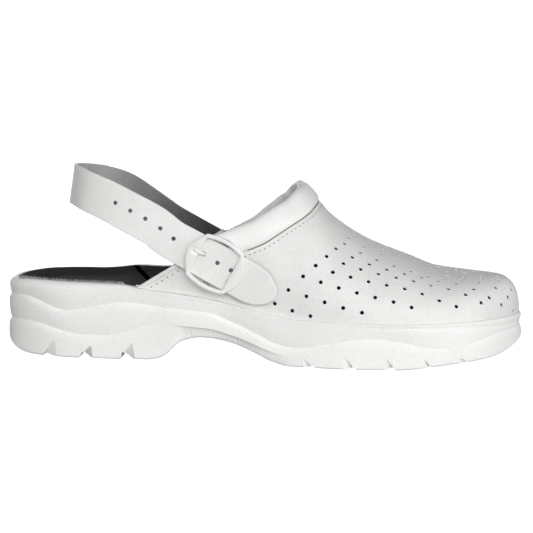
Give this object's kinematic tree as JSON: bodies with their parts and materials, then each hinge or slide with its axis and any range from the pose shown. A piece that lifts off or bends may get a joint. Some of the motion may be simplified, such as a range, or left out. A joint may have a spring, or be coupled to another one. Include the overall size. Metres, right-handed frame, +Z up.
{
  "type": "clog",
  "caption": "White slip-on work clog with a moulded sole, perforated closed-toe leather upper, padded collar and buckled heel strap.",
  "frame": {"origin": "on the floor under the middle of the shoe's outline, seen from above", "axes": "+X from the heel to the toe, +Y to the big-toe side, +Z up"},
  "size_m": [0.285, 0.1046, 0.1027],
  "materials": {
    "sole": "matt moulded foam, finely speckled",
    "footbed": "matt brushed fabric",
    "leather": "satin, fine grain",
    "collar": "satin, soft padded",
    "strap": "satin outside, grey suede inside",
    "buckle": "white, gently glossy",
    "rivet": "satin"
  },
  "bodies": {
    "root": {"sole": "sole", "footbed": "footbed", "upper": "leather", "binding_outer": "leather", "binding_inner": "leather", "collar_pad": "collar", "heel_strap": "strap", "buckle_frame": "buckle", "buckle_pin": "buckle", "strap_rivet": "rivet"}
  },
  "joints": []
}
